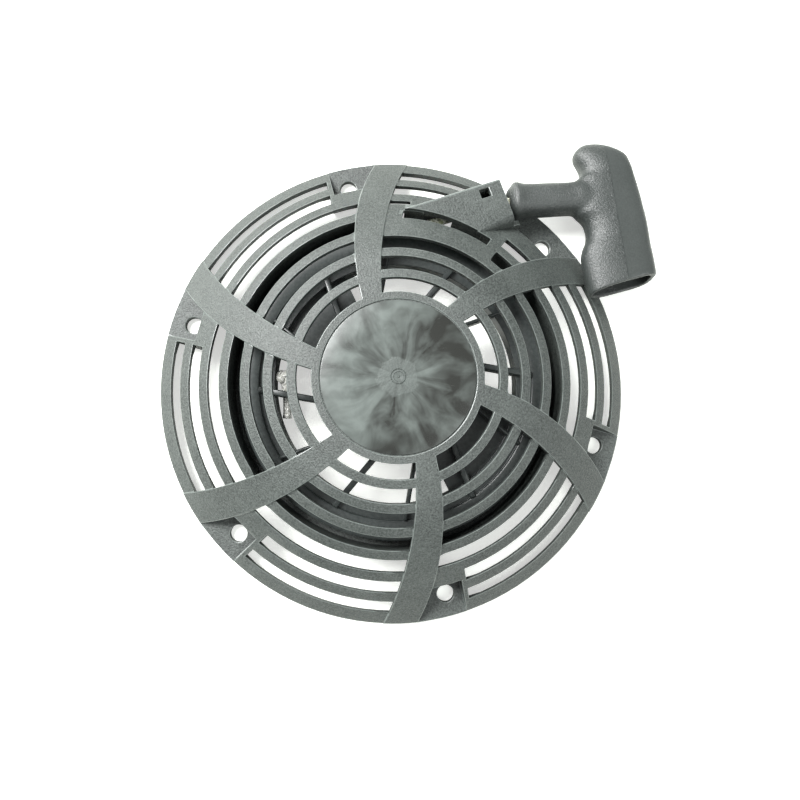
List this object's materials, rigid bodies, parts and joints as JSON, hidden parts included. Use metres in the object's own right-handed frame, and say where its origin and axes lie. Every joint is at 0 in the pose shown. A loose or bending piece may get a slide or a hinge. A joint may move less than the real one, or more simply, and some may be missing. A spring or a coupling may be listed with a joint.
{
  "type": "recoil starter",
  "caption": "Round grille housing with a spring-returned rope reel, pawls and a pull handle, for hand starting a small engine.",
  "frame": {"origin": "centre of the mounting face (the flange's underside) on the reel axis", "axes": "+Z along the reel axis out through the grille; +X is the direction in which the handle's stem points, within a few degrees; the first mounting hole is 43.4 degrees from +X towards +Y"},
  "size_m": [0.2222, 0.2162, 0.038],
  "materials": {
    "housing_plastic": "fine-grained moulded plastic, charcoal",
    "handle_plastic": "grained moulded plastic, charcoal",
    "reel_plastic": "smooth moulded plastic",
    "guide_plastic": "smooth moulded plastic",
    "bush_plastic": "natural acetal",
    "brass": "turned",
    "bright_steel": "zinc plated",
    "pawl_steel": "sintered steel",
    "spring_steel": "oiled spring steel",
    "rope": "braided cord"
  },
  "bodies": {
    "cover": {"housing": "housing_plastic", "threaded_insert": "brass", "rope_eyelet": "bright_steel", "centre_screw": "bright_steel", "screw_washer": "bright_steel", "recoil_spring": "spring_steel", "rope_lead": "rope"},
    "reel": {"rope_pulley": "reel_plastic", "pulley_bush": "bush_plastic", "rope_winding": "rope", "pulley_knot": "rope", "pawl_pin_a": "bright_steel", "pawl_pin_b": "bright_steel", "pawl_spring_a": "spring_steel", "pawl_spring_b": "spring_steel"},
    "guide": {"pawl_guide": "guide_plastic", "friction_spring": "spring_steel"},
    "catch_a": {"pawl_a": "pawl_steel"},
    "catch_b": {"pawl_b": "pawl_steel"},
    "handle": {"handle_grip": "handle_plastic", "handle_washer": "bright_steel", "rope_tail": "rope", "handle_knot": "rope"}
  },
  "joints": [
    {"name": "reel_spin", "type": "hinge", "parent": "cover", "child": "reel", "pos_m": [0, 0, 0.013], "axis": [0, 0, -1], "range_deg": [0, 720], "stiffness_Nm_per_rad": 0.06, "springref_deg": -458.37, "deforming": ["rope_lead"]},
    {"name": "handle_pull", "type": "slide", "parent": "cover", "child": "handle", "axis": [0.9976, 0.0698, 0], "range_m": [0, 0.775]},
    {"name": "guide_turn", "type": "hinge", "parent": "reel", "child": "guide", "pos_m": [0, 0, 0.005], "axis": [0, 0, 1], "range_deg": [0, 35]},
    {"name": "pawl_a_swing", "type": "hinge", "parent": "reel", "child": "catch_a", "pos_m": [0, 0.021, 0.008], "axis": [0, 0, 1], "range_deg": [0, 34]},
    {"name": "pawl_b_swing", "type": "hinge", "parent": "reel", "child": "catch_b", "pos_m": [0, -0.021, 0.008], "axis": [0, 0, 1], "range_deg": [0, 34]}
  ],
  "couplings": [
    {"joint": "handle_pull", "follows": "reel_spin", "m_per_rad": 0.061436},
    {"joint": "pawl_a_swing", "follows": "guide_turn", "ratio": 0.95},
    {"joint": "pawl_b_swing", "follows": "guide_turn", "ratio": 0.95}
  ]
}
